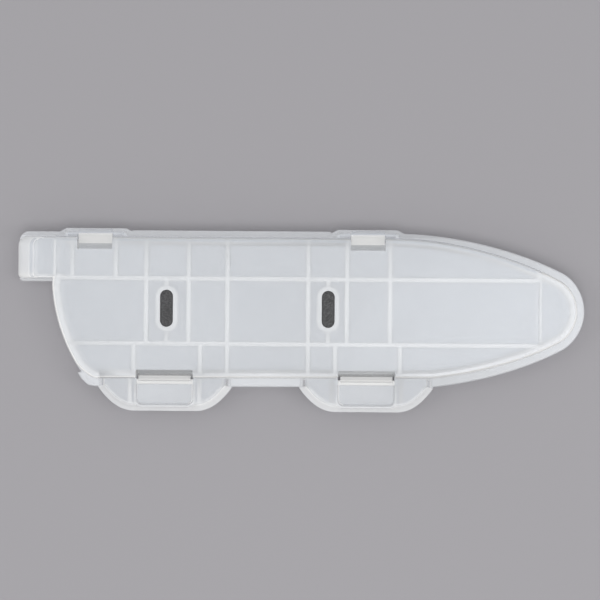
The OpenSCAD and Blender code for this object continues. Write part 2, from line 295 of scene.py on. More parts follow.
def round_foot(low, r, steps):
    """Corners of a quarter circle, each a distance inward and a height: level at the foot, it turns outward
    and ends upright at distance 0."""
    turn = np.radians(np.linspace(0, 90, steps + 1))
    return [(r * (1 - math.sin(t)), low + r * (1 - math.cos(t))) for t in turn]


def rounded_box(low, high, radius, steps=6):
    """A box in the plane with round corners, clockwise from its lower left."""
    (x0, y0), (x1, y1), r = low, high, radius
    return np.concatenate([
        arc((x0 + r, y0 + r), r, 270, 180, steps),
        arc((x0 + r, y1 - r), r, 180, 90, steps),
        arc((x1 - r, y1 - r), r, 90, 0, steps),
        arc((x1 - r, y0 + r), r, 0, -90, steps),
    ])


def stadium(at, width, length, steps=24):
    """Two half circles joined by straight sides, clockwise, long in Y."""
    x, y = at
    r = width / 2
    h = (length - width) / 2
    return np.concatenate([arc((x, y + h), r, 180, 0, steps), arc((x, y - h), r, 0, -180, steps)])


def guard_line():
    """The closed guard's outline, clockwise, with the flange's width in its third column."""
    return np.concatenate([
        [[-132.4, top_y, spine_flange]],
        stretch_of(spine_end, (82, 46.3), (115, 37.9), tip_top, spine_flange, tip_flange),
        stretch_of(tip_top, (144.9, 22.8), (150, 14.8), tip_front, tip_flange, tip_flange),
        stretch_of(tip_front, (150, -2.2), (145.4, -11.1), tip_low, tip_flange, tip_flange),
        stretch_of(tip_low, (119.2, -24.9), (94.5, -32), belly_end, tip_flange, edge_flange),
        [[*belly_end, edge_flange]],
        stretch_of(heel_low, (-112, -34.6), (-115.8, -29.2), heel_mid, edge_flange, heel_flange),
        stretch_of(heel_mid, (-126.4, -12), (-131.6, 4), heel_top, heel_flange, heel_flange),
    ])


def neck_line(left, low, high, d):
    """The neck's plan: round corners at its open end, d further in on its three free sides."""
    x, a, b = left + d, low + d, high - d
    top_r, low_r = neck_top_r - d / 2, neck_low_r - d / 2
    return np.concatenate([
        arc((x + top_r, b - top_r), top_r, 180, 90, neck_steps),
        [[neck_right, b], [neck_right, a]],
        arc((x + low_r, a + low_r), low_r, 270, 180, neck_steps),
    ])


def tab_line(d, close_y):
    """The tab's plan about its own middle, d further in on its free sides and closed along one line."""
    curve = bezier((tab_half, tab_root_y), (30.8, -42.3), (24.5, tab_low_y), (tab_flat_half, tab_low_y), 16)
    curve = np.concatenate([curve, [[tab_flat_half, tab_low_y]]])
    line = np.concatenate([
        [[tab_half, tab_root_y + 2]], curve, curve[::-1] * (-1, 1), [[-tab_half, tab_root_y + 2]],
    ])
    line = inset(line, 0, d)
    line[[0, -1], 1] = close_y
    return line


outline = guard_line()


# Solids from lines
def make_mesh(name, co, faces):
    """A mesh object from points in millimetres and a list of faces."""
    mesh = bpy.data.meshes.new(name)
    mesh.from_pydata((np.asarray(co, float) * MM).tolist(), [], faces)
    made = bpy.data.objects.new(name, mesh)
    bpy.context.scene.collection.objects.link(made)
    return made


def loft(name, rings):
    """A closed solid through rings of equal length: neighbours are joined by quads, and the two ends are
    filled. The rings run clockwise seen from the last one."""
    count = len(rings[0])
    i = np.arange(count)
    j = (i + 1) % count
    k = np.arange(len(rings) - 1)[:, None] * count
    sides = np.stack([k + i, k + count + i, k + count + j, k + j], -1).reshape(-1, 4).tolist()
    last = (len(rings) - 1) * count
    return make_mesh(name, np.concatenate(rings), sides + [i.tolist(), (last + i[::-1]).tolist()])


def band(name, line, share, profile):
    """A closed tube along a closed line of the plan: each corner of the profile, a distance inward and a
    height, gives one ring, and the last ring joins the first. The profile runs up outside and down inside."""
    rings = [at_z(inset(line, share, d), z) for d, z in profile]
    count = len(line)
    i = np.arange(count)
    j = (i + 1) % count
    k = np.arange(len(rings))[:, None] * count
    up = np.roll(k, -1, 0)
    faces = np.stack([k + i, up + i, up + j, k + j], -1).reshape(-1, 4).tolist()
    return make_mesh(name, np.concatenate(rings), faces)


def at_z(line, z):
    """A line of the plane lifted to one height."""
    return np.column_stack([line[:, 0], line[:, 1], np.full(len(line), z)])


def prism(name, line, low, high):
    """A straight solid on a line of the plane."""
    return loft(name, [at_z(line, low), at_z(line, high)])


def soft_prism(name, line, low, high, soft):
    """A prism whose upper edge turns over in a quarter circle."""
    return loft(name, [at_z(inset(line, 0, d), z) for d, z in [(0, low)] + round_top(0, high, soft, 4)])


def block(name, low, high):
    """A straight box between two corners."""
    line = np.array([[low[0], low[1]], [low[0], high[1]], [high[0], high[1]], [high[0], low[1]]], float)
    return prism(name, line, low[2], high[2])


def bar(name, profile, x0, x1, soft):
    """A profile of Y and Z carried along X, drawn in at both ends in a quarter circle of radius soft."""
    start = round_foot(x0, soft, 3)
    ends = start + [(d, x0 + x1 - x) for d, x in start[::-1]]
    rings = []
    for d, x in ends:
        line = inset(profile, 0, d)
        rings.append(np.column_stack([np.full(len(line), x), line]))
    return loft(name, rings)


def shift_x(solid, x):
    """Moves a solid's points along X."""
    co = np.empty(len(solid.data.vertices) * 3)
    solid.data.vertices.foreach_get("co", co)
    co[0::3] += x * MM
    solid.data.vertices.foreach_set("co", co)
    return solid


def carve(solid, others, how):
    """Joins, takes away or intersects the other solids, and uses them up."""
    for other in others:
        step = solid.modifiers.new("carve", "BOOLEAN")
        step.operation = how
        step.solver = "MANIFOLD"
        step.object = other
    bake(solid)
    for other in others:
        bpy.data.objects.remove(other)
    return solid


def bake(solid):
    """Turns a piece's modifiers into its mesh."""
    bpy.context.view_layer.update()
    mesh = bpy.data.meshes.new_from_object(solid.evaluated_get(bpy.context.evaluated_depsgraph_get()))
    solid.modifiers.clear()
    solid.data = mesh
    return solid


def soften(solid, width):
    """Rounds the sharp edges and lets the flat faces keep their own normals."""
    solid.data.polygons.foreach_set("use_smooth", np.ones(len(solid.data.polygons), bool))
    if width:
        round_off = solid.modifiers.new("soft edges", "BEVEL")
        round_off.width = width * MM
        round_off.segments = 2
        round_off.limit_method = "ANGLE"
        round_off.angle_limit = math.radians(sharp_angle)
        round_off.use_clamp_overlap = True
        round_off.harden_normals = True
    return solid


def put(solid, half):
    """Turns a half's own frame, with its parting plane at Z 0, into the guard's, and mirrors the back."""
    co = np.empty(len(solid.data.vertices) * 3)
    solid.data.vertices.foreach_get("co", co)
    co[2::3] = half_h * MM + (1 if half == "front" else -1) * co[2::3]
    solid.data.vertices.foreach_set("co", co)
    if half == "back":
        solid.data.flip_normals()
    solid.data.update()
    return solid


# Half shells
def chamber_outer(base):
    """Outside of the blade chamber: the wall leans in by its draft, then turns over in a quarter circle."""
    rings = [(0, base)] + round_top(wall_draft, half_h, edge_round, 8)
    return loft("chamber", [at_z(inset(outline, 1, d), z) for d, z in rings])


def chamber_inner():
    """Inside of the blade chamber: it leans in by the wall's draft, then turns over in a quarter circle."""
    rings = [(wall_t, -past)] + round_top(wall_t + wall_draft, ceiling, inner_round, 6)
    return loft("room", [at_z(inset(outline, 1, d), z) for d, z in rings])


def neck_outer(base, low):
    """Outside of the neck: upright walls, then a ramp that climbs from the mouth's lip to the face."""
    start, narrow, crest = 0.5, 0.3, 1.1
    rings = [(0, 0, base), (0, 0.1, mouth_lip_z), (0.15, 0.2, mouth_ramp_z - 0.45)]
    rings.append((start, narrow, mouth_ramp_z))
    ramp = neck_ramp - start
    rise = half_h - mouth_ramp_z
    for share in (0.25, 0.5, 0.7):
        rings.append((start + ramp * share, narrow + 0.25 * share, mouth_ramp_z + rise * share * 1.08))
    for t in np.radians(np.linspace(25, 90, 5)):
        turned = crest * (1 - math.cos(t))
        rings.append((neck_ramp - crest + 2 * turned, 0.55 + turned,
                      half_h - 0.95 * (1 - math.sin(t)) ** 0.9))
    return loft("neck", [at_z(neck_line(neck_left + x, low, neck_high, d), z) for x, d, z in rings])


def neck_inner(low, grow=0.0):
    """Inside of the neck, or a little outside it: it climbs evenly from beyond the mouth to the plate."""
    floor_y, roof_y = low + wall_t - grow, neck_high - wall_t + grow
    far_left = neck_left - 3
    rings = [(far_left, 0, -past), (far_left, 0.3, mouth_lip_z - plate_t + 0.2 + grow),
             (neck_left + neck_ramp + plate_t, 0.6, ceiling + grow)]
    return loft("throat", [at_z(neck_line(x, floor_y, roof_y, d), z) for x, d, z in rings])


def tab_outer(base):
    """Outside of a thumb tab: a low upright edge, a slope, and a quarter turn onto the plateau."""
    a = np.radians(np.linspace(20, 90, 6))
    turn_in, turn_down = 1.3, 0.75
    turn = [(tab_slope - 0.4 + turn_in * (1 - math.cos(t)), tab_h - turn_down * (1 - math.sin(t)))
            for t in a]
    rings = [(0, base), (0.05, base + 0.8), (0.25, base + 1.15)] + turn
    return loft("tab", [at_z(tab_line(d, tab_joint_y), z) for d, z in rings])


def tab_inner():
    """Inside of a thumb tab: walls that lean in, then a slope and a small bevel up to the plateau."""
    top = tab_h - plate_t
    rings = [(1.4, -past), (2.2, 1), (tab_slope + 1.1, top - 0.35), (tab_slope + 1.8, top)]
    return loft("tab room", [at_z(tab_line(d, tab_void_y), z) for d, z in rings])


def recess_cut(front):
    """The thumb recess: a box with round corners whose walls lean out and whose floor edge is round."""
    floor_z = flange_t + (parting_gap if front else 0)
    top = keeper_out_y + 0.4 if front else keeper_out_y
    line = rounded_box((-recess_half, recess_low_y), (recess_half, top + recess_past), recess_r, 8)
    rings = round_foot(floor_z, recess_floor_r, 5)
    rings += [(-recess_lean, tab_h), (-recess_lean - 0.25, half_h + past)]
    cut = loft("recess", [at_z(inset(line, 0, d), z) for d, z in rings])
    keep = block("recess side", (-tab_side, recess_low_y - past, -past), (tab_side, top, half_h + 2 * past))
    return carve(cut, [keep], "INTERSECT")


def lug_line(x):
    """The lug under a hinge hook: a strip with slanted ends."""
    wide = lug_half + lug_slant / 2
    narrow = lug_half - lug_slant / 2
    return np.array([[-wide, top_y - lug_root], [-wide, top_y], [-narrow, lug_y],
                     [narrow, lug_y], [wide, top_y], [wide, top_y - lug_root]]) + (x, 0)


def flange(half):
    """The flange round the parting plane, with the foot at the heel, and on the back its skirt and lugs.
    Their upper faces lie a small step apart, so that no two share a plane."""
    front = half == "front"
    step = flange_step if front else 0
    base = parting_gap if front else 0

    def slab(name, line, steps):
        """A part of the flange whose upper face lies some steps lower."""
        return soft_prism(name, line, base, flange_t - steps * plane_step, flange_soft)

    solid = slab("flange", inset(outline, 0, step), 0)
    neck = neck_line(neck_left + 0.2, neck_low["front"] + 0.2, top_y - step, 0)
    parts = [slab("foot", inset(np.array(foot_corners), 0, step), 4), slab("neck flange", neck, 2)]
    if not front:
        skirt = rounded_box((skirt_from, top_y - lug_root), (skirt_to, skirt_y), 0.6)
        parts.append(slab("skirt", skirt, 3))
        parts += [slab("lug", lug_line(x), 1) for x in hinge_xs]
    carve(solid, parts, "UNION")
    if front:
        cut = block("flange gap", (neck_left - past, neck_wall_top, -past),
                    (front_flange_from, lug_y, flange_t + past))
        carve(solid, [cut], "DIFFERENCE")
    return solid


def ears():
    """Four ears on the front shell that carry the hinge pins."""
    root_y = neck_wall_top - wall_t / 2
    line = np.concatenate([arc((axis_y, axis_z), ear_r, -90, 90, 16)[::-1],
                           [[root_y, axis_z - ear_r], [root_y, axis_z + ear_r]]])
    return [bar("ear", line, at - ear_t / 2, at + ear_t / 2, ear_soft)
            for x in hinge_xs for at in (x - ear_half, x + ear_half)]


def tab_tub(x, base, top):
    """The wall round a thumb recess, open where the latch is."""
    reach, low = window_half + recess_wall, recess_low_y - recess_wall
    line = rounded_box((x - reach, low), (x + reach, top + recess_past), recess_r + recess_wall, 8)
    side = block("tub side", (x - tab_side, recess_low_y - 2 * past, -past), (x + tab_side, top, half_h))
    return carve(prism("tub", line, base, tab_h), [side], "INTERSECT")


def tab_ribs(x):
    """The two ribs under a thumb tab, beside its recess."""
    half, low, high = tab_rib_t / 2, recess_low_y, tab_void_y + 0.3
    return [block("tab rib", (at - half, low, tab_rib_low), (at + half, high, tab_h - plate_t / 2))
            for at in (x - tab_rib_x, x + tab_rib_x)]


def half_shell(half):
    """A half shell in its own frame, from the same parts as its construction, with softer turns."""
    front = half == "front"
    base = parting_gap if front else 0
    low = neck_low[half]
    shell = chamber_outer(base)
    carve(shell, [neck_outer(base, low)], "UNION")
    carve(shell, [shift_x(tab_outer(base), x) for x in tab_xs], "UNION")
    carve(shell, [flange(half)], "UNION")
    if front:
        carve(shell, ears(), "UNION")
    carve(shell, [chamber_inner(), neck_inner(low)], "DIFFERENCE")
    carve(shell, [shift_x(tab_inner(), x) for x in tab_xs], "DIFFERENCE")
    tub_top = keeper_out_y + 0.4 if front else tab_void_y
    for x in tab_xs:
        carve(shell, [tab_tub(x, base, tub_top)] + tab_ribs(x), "UNION")
    carve(shell, [shift_x(recess_cut(front), x) for x in tab_xs], "DIFFERENCE")
    slots = [prism("slot", stadium((x, pad_y), pad_w, pad_l), half_h / 2, half_h + past) for x in pad_xs]
    carve(shell, slots, "DIFFERENCE")
    carve(shell, front_windows() if front else latch_rooms(), "DIFFERENCE")
    if front:
        dimple, nub = (arc(gate_at, r, 360, 360 / gate_sides, gate_sides - 1) for r in (gate_r, gate_r / 3))
        carve(shell, [prism("dimple", dimple, half_h - gate_deep, half_h + past)], "DIFFERENCE")
        carve(shell, [prism("nub", nub, ceiling + gate_deep, half_h - gate_deep / 4)], "UNION")
    return shell


def front_windows(grow=0.0):
    """Windows over the latches and the hinge hooks, or a little wider than they are."""
    half, low, high = window_half + grow, keeper_out_y - grow, window_top_y + grow
    lines = [rounded_box((x - half, low), (x + half, high), window_r) for x in tab_xs]
    latch = [prism("window", line, -past, half_h + past) for line in lines]
    half, low = hinge_window_half + grow, hinge_window_y - grow
    hinge = [block("window", (x - half, low, -past), (x + half, lug_y, half_h + past)) for x in hinge_xs]
    return latch + hinge


def wall_heart(half):
    """The heart of the thick places, a third of a millimetre inside the plastic: the chamber's wall with
    its turn into the face and a thin fin under it, the neck's walls and ramp, the thumb tabs' crests, the
    recess walls and the ribs beside them. The fin, the end of the ramp and the spine side have places of
    their own in its list of finishes; the spine side's thin skin is painted shade."""
    front = half == "front"
    low = neck_low[half]
    out_r, in_r = edge_round - skin, inner_round + skin
    out_at, in_at = wall_draft + edge_round, wall_t + wall_draft + inner_round
    top = half_h - skin
    profile = [(heart_foot, flange_t), (heart_foot, flange_t + 0.15), (0.85, flange_t + 0.85)]
    profile += round_top(out_at - out_r, top, out_r, 5)
    profile += [(in_at, top), (in_at + fin, top - 0.1), (in_at + fin, top - 0.3)]
    profile += round_top(in_at - in_r, ceiling + skin, in_r, 5)[::-1]
    profile += [(wall_t - skin, flange_t)]
    heart = band("heart", outline, 1, profile)
    neck_plate = block("neck plate", (neck_left, low + 3, ceiling - skin),
                       (neck_right, neck_high - 3, half_h))
    carve(heart, [neck_inner(low, skin), neck_plate], "DIFFERENCE")
    carve(heart, [neck_heart(low)] + [tab_heart(x) for x in tab_xs], "UNION")
    carve(heart, front_windows(skin) if front else latch_rooms(skin), "DIFFERENCE")
    centres = np.array([face.center[:2] for face in heart.data.polygons]) / MM
    x, y = centres.T
    in_fin = (depth_in(centres) > in_at + 0.1) & (y > edge_y) & (x > heel_top[0])
    ramp_end = neck_left + neck_ramp
    past_ramp = (x > ramp_end) & (x < ramp_end + ramp_tail) & (y < neck_high - 2)
    # The spine side takes the thin skin: painted shade, as it faces away from the key light.
    slots = np.select([past_ramp, in_fin, y > tip_top[1]], [RAMP_END, FIN, SHADED_SPINE_SIDE], HEART)
    heart.data.materials.clear()
    heart.data.polygons.foreach_set("material_index", slots.astype(np.int32))
    return heart


def depth_in(points):
    """How far points of the plan lie from the foot of the chamber's wall."""
    a = inset(outline, 1, 0)
    run = np.roll(a, -1, 0) - a
    way = points[:, None] - a
    share = np.clip((way * run).sum(-1) / (run ** 2).sum(-1), 0, 1)
    return np.linalg.norm(way - share[..., None] * run, axis=-1).min(-1)


def neck_heart(low):
    """The heart of the neck: its two long walls and the ramp over the mouth."""
    a, b = low + skin, neck_high - skin
    ramp_low, ramp_high = mouth_ramp_z - skin, half_h - skin
    left, right = neck_left + 0.5 + skin, neck_left + neck_ramp
    solid = loft("neck heart", [at_z(neck_line(x, a, b, d), z) for x, d, z in (
        (left - 0.3, 0, flange_t), (left - 0.3, 0.1, mouth_lip_z), (left, 0.15, ramp_low),
        (left + 0.7 * (right - left), 0.3, ramp_low + 0.75 * (ramp_high - ramp_low)),
        (right - 0.3, 0.6, ramp_high - 0.25), (right + 0.6, 1.0, ramp_high),
        (right + 2.8, 1.0, ramp_high - 0.1))])
    room = block("neck room", (right + 2.4, a + 2.2, -past), (neck_right + past, b - 2.2, half_h))
    side = block("neck end", (neck_right - 6.5, low - past, -past),
                 (neck_right + past, neck_high + past, ceiling))
    return carve(solid, [room, neck_inner(low, skin), side], "DIFFERENCE")


def tab_heart(x):
    """The heart of a thumb tab: a ring under the crest of its slope, the recess walls and two ribs."""
    tab = tab_line(0, window_top_y + tab_slope)
    crest = tab_slope + 0.6
    top = tab_h - skin
    ring = band("crest", tab, 0, [(crest - 0.5, tab_h - 1.5), (crest - 0.1, top), (crest + 0.8, top),
                                  (crest + 0.7, tab_h - 1.3)])
    shift_x(ring, x)
    inside = block("inside", (x - tab_half, keeper_out_y, -past), (x + tab_half, 0, half_h))
    wide, high = recess_half + skin, keeper_out_y + recess_past
    hollow = rounded_box((x - wide, recess_low_y - skin), (x + wide, high), recess_r + skin, 8)
    carve(ring, [inside, prism("hollow", hollow, 0, half_h)], "DIFFERENCE")
    recess = rounded_box((x - recess_half, recess_low_y), (x + recess_half, high), recess_r, 8)
    walls = band("recess heart", recess, 0, [(-1.15, 0.6), (-1.25, top), (-0.45, top), (-0.95, flange_t),
                                             (-0.9, 0.6)])
    side = block("open side", (x - tab_side, keeper_out_y - 0.2, -past),
                 (x + tab_side, keeper_out_y + 2 * recess_past, half_h))
    carve(walls, [side], "DIFFERENCE")
    under = tab_h - plate_t
    levels = [(0.5, 1.3), (0.55, under - 0.4), (1.1, under + 0.3), (1.0, top)]
    ribs = [loft("rib heart", [at_z(rounded_box((at - w, recess_low_y + 0.8 - w / 2),
                                                (at + w, tab_void_y + 0.3), 0.4), z) for w, z in levels])
            for at in (x - tab_rib_x, x + tab_rib_x)]
    return carve(ring, [walls] + ribs, "UNION")


def latch_rooms(grow=0.0):
    """Gaps in the back shell's edge wall beside the latch arms."""
    return [block("arm room", (x - window_half - grow, tab_void_y - grow, -past),
                  (x + window_half + grow, arm_in_y + arm_room + grow, ceiling)) for x in tab_xs]


# Ribs, sockets and pads
def rib(a, b, height, thick, cover):
    """A rib from a to b in plan: a stadium whose half width follows the height, with a round tip at the
    blade side, tapered flanks, a fillet under the plate, and a root that reaches into the plate."""
    a, b = np.array(a, float), np.array(b, float)
    along = math.degrees(math.atan2(b[1] - a[1], b[0] - a[0]))
    tip = ceiling - height
    half = thick / 2
    rings = [(half * rib_tip_share - d, z) for d, z in round_foot(tip, rib_tip_r, 3)]
    rings += [(half - 0.05, ceiling - rib_fillet)]
    rings += round_top(half, ceiling, rib_fillet, 3)[1:]
    rings += [(half, half_h - cover)]
    lines = []
    for r, z in rings:
        line = np.concatenate([arc(b, r, along + 90, along - 90, 8), arc(a, r, along - 90, along - 270, 8)])
        lines.append(at_z(line, z))
    return loft("rib", lines)


def rib_layout():
    """Ends, height and thickness of the ribs in a half's chamber, and how much of the plate covers each."""
    ribs = [((rib_start_x, y), (rib_end_x, y)) for y in (upper_rib_y, lower_rib_y)]
    ribs.append(((rib_end_x, upper_rib_y), (rib_end_x + fork_x, upper_rib_y + fork_up)))
    ribs.append(((rib_end_x, lower_rib_y), (rib_end_x + fork_x, lower_rib_y - fork_down)))
    ribs += [((x, upper_rib_y), (x, far_y)) for x in upper_cross_xs]
    ribs += [((x, lower_rib_y), (x, far_y)) for x in middle_cross_xs]
    ribs += [((x, -far_y), (x, far_y)) for x in full_cross_xs]
    ribs += [((x, -far_y), (x, lower_rib_y)) for x in lower_cross_xs]
    ribs += [((x, lower_rib_y), (x, upper_rib_y)) for x in pad_xs]
    low_rib = ((low_rib_x, lower_rib_y), (low_rib_x, upper_rib_y), low_rib_h, low_rib_t, low_rib_cover)
    return [(*ends, ceiling - rib_tip, rib_t, rib_cover) for ends in ribs] + [low_rib]


def rib_grid():
    """The rib grid of a half, let a little into the walls and the pad sockets, and the neck's low rib."""
    grid, *more = [rib(*ends_and_size) for ends_and_size in rib_layout()]
    carve(grid, more, "UNION")
    line = inset(outline, 1, wall_t - rib_in_wall)
    room = prism("rib room", line, 0, half_h - rib_cover / 2)
    carve(grid, [room], "INTERSECT")
    ends = (neck_rib_x, upper_rib_y), (neck_rib_x, neck_high - 1.5 * wall_t)
    carve(grid, [rib(*ends, low_rib_h, low_rib_t, rib_cover)], "UNION")
    wide = 2 * (socket_t - rib_in_socket)
    holes = [prism("socket room", stadium((x, pad_y), pad_w + wide, pad_l + wide), 0, half_h) for x in pad_xs]
    return carve(grid, holes, "DIFFERENCE")


def pad_socket(x):
    """The wall round a pad: a stadium ring with a round lower edge, let into the plate."""
    outer = stadium((x, pad_y), pad_w + 2 * socket_t, pad_l + 2 * socket_t)
    rings = round_foot(socket_z, socket_r, 4) + [(0, ceiling - rib_fillet)]
    rings += [(-d, z) for d, z in round_top(0, ceiling, rib_fillet, 4)[1:]]
    rings += [(socket_root, half_h - rib_cover)]
    ring = loft("socket", [at_z(inset(outer, 0, d), z) for d, z in rings])
    return carve(ring, [prism("bore", stadium((x, pad_y), pad_w, pad_l), 0, half_h + past)], "DIFFERENCE")


def grip_pad(x):
    """A pad: a stadium stem with a crowned top in the slot, and a wider head with round edges inside."""
    turn = np.radians(np.linspace(0, 90, 5))
    head, stem = (pad_w + 2 * pad_lip, pad_l + 2 * pad_lip), (pad_w - pad_play, pad_l - pad_play)
    low, top = pad_gap / 2, half_h - pad_sink
    turn_in, turn_down = 0.55, 0.6
    rings = [(head, d, z) for d, z in round_foot(low, pad_head_r, 4)]
    rings += [(head, 0, socket_z - 0.35), (head, 0.1, socket_z - 0.08), (head, 0.35, socket_z)]
    rings += [(stem, 0, socket_z), (stem, 0, top - turn_down)]
    rings += [(stem, turn_in * (1 - math.cos(t)), top - pad_crown - turn_down * (1 - math.sin(t)))
              for t in turn[1:]]
    rings += [(stem, d, top - pad_crown * (1 - d / (pad_w / 2)) ** 2) for d in (1.3, 2.2, 3.0)]
    return loft("pad", [at_z(inset(stadium((x, pad_y), *size), 0, d), z) for size, d, z in rings])


# Hinge and latch parts
def hook_profile():
    """A hinge hook in Y and Z: a foot, a ring that is open below, and a tail, clockwise."""
    inner, outer = hook_in_r, hook_in_r + hook_t
    floor = -axis_z
    line = np.concatenate([
        [[inner, floor]],
        arc((0, 0), inner, 0, 180 + math.degrees(math.asin(hook_open / inner)), 24),
        arc((0, 0), outer, 180 + math.degrees(math.asin(hook_open / outer)),
            180 - math.degrees(math.asin(inner / outer)), 6),
        [[tail_y - axis_y, inner], [tail_y - axis_y, outer]],
        arc((0, 0), outer, 90, 0, 14),
        [[outer, floor]],
    ])
    return line + (axis_y, axis_z)


def hinge_hook(x):
    """A hinge hook carried along X."""
    return bar("hook", hook_profile(), x - hook_w / 2, x + hook_w / 2, hook_soft)


def hinge_pin(x):
    """A hinge pin with slightly round ends, as far as the ears' outer faces."""
    half = ear_half - ear_t / 2
    line = arc((axis_y, axis_z), pin_d / 2, 360, 360 / pin_sides, pin_sides - 1)
    return bar("pin", line, x - half, x + half, pin_soft)


def latch_hook(x):
    """A latch: a flat arm with a round root and a head whose nose reaches over the keeper."""
    out_y, in_y = arm_in_y - arm_t, arm_in_y
    top = head_base + head_h
    nose_y = keeper_in_y - nose_reach
    line = np.concatenate([
        arc(((out_y + in_y) / 2, arm_root_z), arm_t / 2, 0, -180, 12),
        [[out_y, head_base], [nose_y, head_base], [nose_y, head_base + 0.9], [keeper_in_y - 0.3, top],
         [in_y, top], [in_y + 0.4, top - 0.8]],
    ])
    return bar("latch", line, x - latch_w / 2, x + latch_w / 2, latch_soft)


def latch_keeper(x):
    """The keeper wall between the latch window and the thumb recess, with a round crest."""
    out_y, in_y = keeper_out_y - 0.02, keeper_in_y
    line = np.concatenate([[[in_y, parting_gap], [out_y, parting_gap]],
                           arc((out_y + keeper_r, keeper_top - keeper_r), keeper_r, 180, 90, 5),
                           arc((in_y - keeper_r, keeper_top - keeper_r), keeper_r, 90, 0, 5)])
    return bar("keeper", line, x - window_half - 0.05, x + window_half + 0.05, keeper_soft)


# Finishes: their places in the material lists of a shell, after its own, and of a heart, the two degrees of
# roughness, and how far the normals of upright, leaning and level faces rise
EDGE_HIGHLIGHT, SLOPE, FLANGE, TAB, WALL, RIM, SHADED_SPINE = range(1, 8)
HEART, FIN, RAMP_END, SHADED_SPINE_SIDE = range(4)
sleek = 0.36
matt = 0.42
upright, recess_upright, leaning, level = 0.2, 0.5, 0.75, 0.96


def principled(name):
    """A new material and its shader."""
    material = bpy.data.materials.new(name)
    material.use_nodes = True
    return material, material.node_tree.nodes["Principled BSDF"]


def frosted(name, colour, cover, rough, along=(1, 1)):
    """Frosted polypropylene: a milky skin that covers part of what lies behind it, lets light through to the
    inside, and scatters a little within. Its colour is stronger or weaker at even steps along the guard, from
    the neck to the tip, as painted light and shade: lighter where the lamps fall more, darker where less.
    Slow clouds tint it, and a fine grain varies its gloss and its surface."""
    material, shader = principled(name)
    nodes, links = material.node_tree.nodes, material.node_tree.links
    shader.inputs["IOR"].default_value = 1.49
    shader.inputs["Alpha"].default_value = cover
    shader.inputs["Subsurface Weight"].default_value = 0.3
    shader.inputs["Subsurface Radius"].default_value = (1.0, 1.0, 1.0)
    shader.inputs["Subsurface Scale"].default_value = 0.001
    place = nodes.new("ShaderNodeTexCoord")
    cloud = nodes.new("ShaderNodeTexNoise")
    cloud.inputs["Scale"].default_value = 45
    cloud.inputs["Detail"].default_value = 3
    links.new(place.outputs["Object"], cloud.inputs["Vector"])
    tone = nodes.new("ShaderNodeValToRGB")
    tone.color_ramp.elements[0].position = 0.35
    tone.color_ramp.elements[0].color = (0.98, 0.98, 0.98, 1)
    tone.color_ramp.elements[1].position = 0.65
    links.new(cloud.outputs["Fac"], tone.inputs["Fac"])
    axes = nodes.new("ShaderNodeSeparateXYZ")
    links.new(place.outputs["Object"], axes.inputs["Vector"])
    length = nodes.new("ShaderNodeMapRange")
    length.inputs["From Min"].default_value = neck_left * MM
    length.inputs["From Max"].default_value = tip_front[0] * MM
    links.new(axes.outputs["X"], length.inputs["Value"])
    # The steps along the guard paint light and shade: each multiplies the colour at its place.
    colour_with_painted_light = nodes.new("ShaderNodeValToRGB")
    for step in range(1, len(along) - 1):
        colour_with_painted_light.color_ramp.elements.new(step / (len(along) - 1))
    for stop, share in zip(colour_with_painted_light.color_ramp.elements, along):
        stop.color = (*[min(c * share, 1) for c in colour], 1)
    links.new(length.outputs["Result"], colour_with_painted_light.inputs["Fac"])
    blend = nodes.new("ShaderNodeMix")
    blend.data_type, blend.blend_type = "RGBA", "MULTIPLY"
    blend.inputs["Factor"].default_value = 1
    links.new(colour_with_painted_light.outputs["Color"], blend.inputs["A"])
    links.new(tone.outputs["Color"], blend.inputs["B"])
    links.new(blend.outputs["Result"], shader.inputs["Base Color"])
    grain = nodes.new("ShaderNodeTexNoise")
    grain.inputs["Scale"].default_value = 2600
    grain.inputs["Detail"].default_value = 2
    links.new(place.outputs["Object"], grain.inputs["Vector"])
    gloss = nodes.new("ShaderNodeMapRange")
    gloss.inputs["To Min"].default_value = rough - 0.05
    gloss.inputs["To Max"].default_value = rough + 0.05
    links.new(grain.outputs["Fac"], gloss.inputs["Value"])
    links.new(gloss.outputs["Result"], shader.inputs["Roughness"])
    bump = nodes.new("ShaderNodeBump")
    bump.inputs["Strength"].default_value = 0.08
    bump.inputs["Distance"].default_value = 0.0001
    links.new(grain.outputs["Fac"], bump.inputs["Height"])
    links.new(bump.outputs["Normal"], shader.inputs["Normal"])
    return material


def rubber(name):
    """Black rubber, matt and finely speckled."""
    material, shader = principled(name)
    nodes, links = material.node_tree.nodes, material.node_tree.links
    shader.inputs["Roughness"].default_value = 0.7
    place = nodes.new("ShaderNodeTexCoord")
    speck = nodes.new("ShaderNodeTexNoise")
    speck.inputs["Scale"].default_value = 1600
    speck.inputs["Detail"].default_value = 4
    links.new(place.outputs["Object"], speck.inputs["Vector"])
    tone = nodes.new("ShaderNodeValToRGB")
    tone.color_ramp.elements[0].position = 0.38
    tone.color_ramp.elements[0].color = (0.035, 0.035, 0.037, 1)
    tone.color_ramp.elements[1].position = 0.62
    tone.color_ramp.elements[1].color = (0.10, 0.10, 0.104, 1)
    links.new(speck.outputs["Fac"], tone.inputs["Fac"])
    links.new(tone.outputs["Color"], shader.inputs["Base Color"])
    bump = nodes.new("ShaderNodeBump")
    bump.inputs["Strength"].default_value = 0.5
    bump.inputs["Distance"].default_value = 0.0002
    links.new(speck.outputs["Fac"], bump.inputs["Height"])
    links.new(bump.outputs["Normal"], shader.inputs["Normal"])
    return material


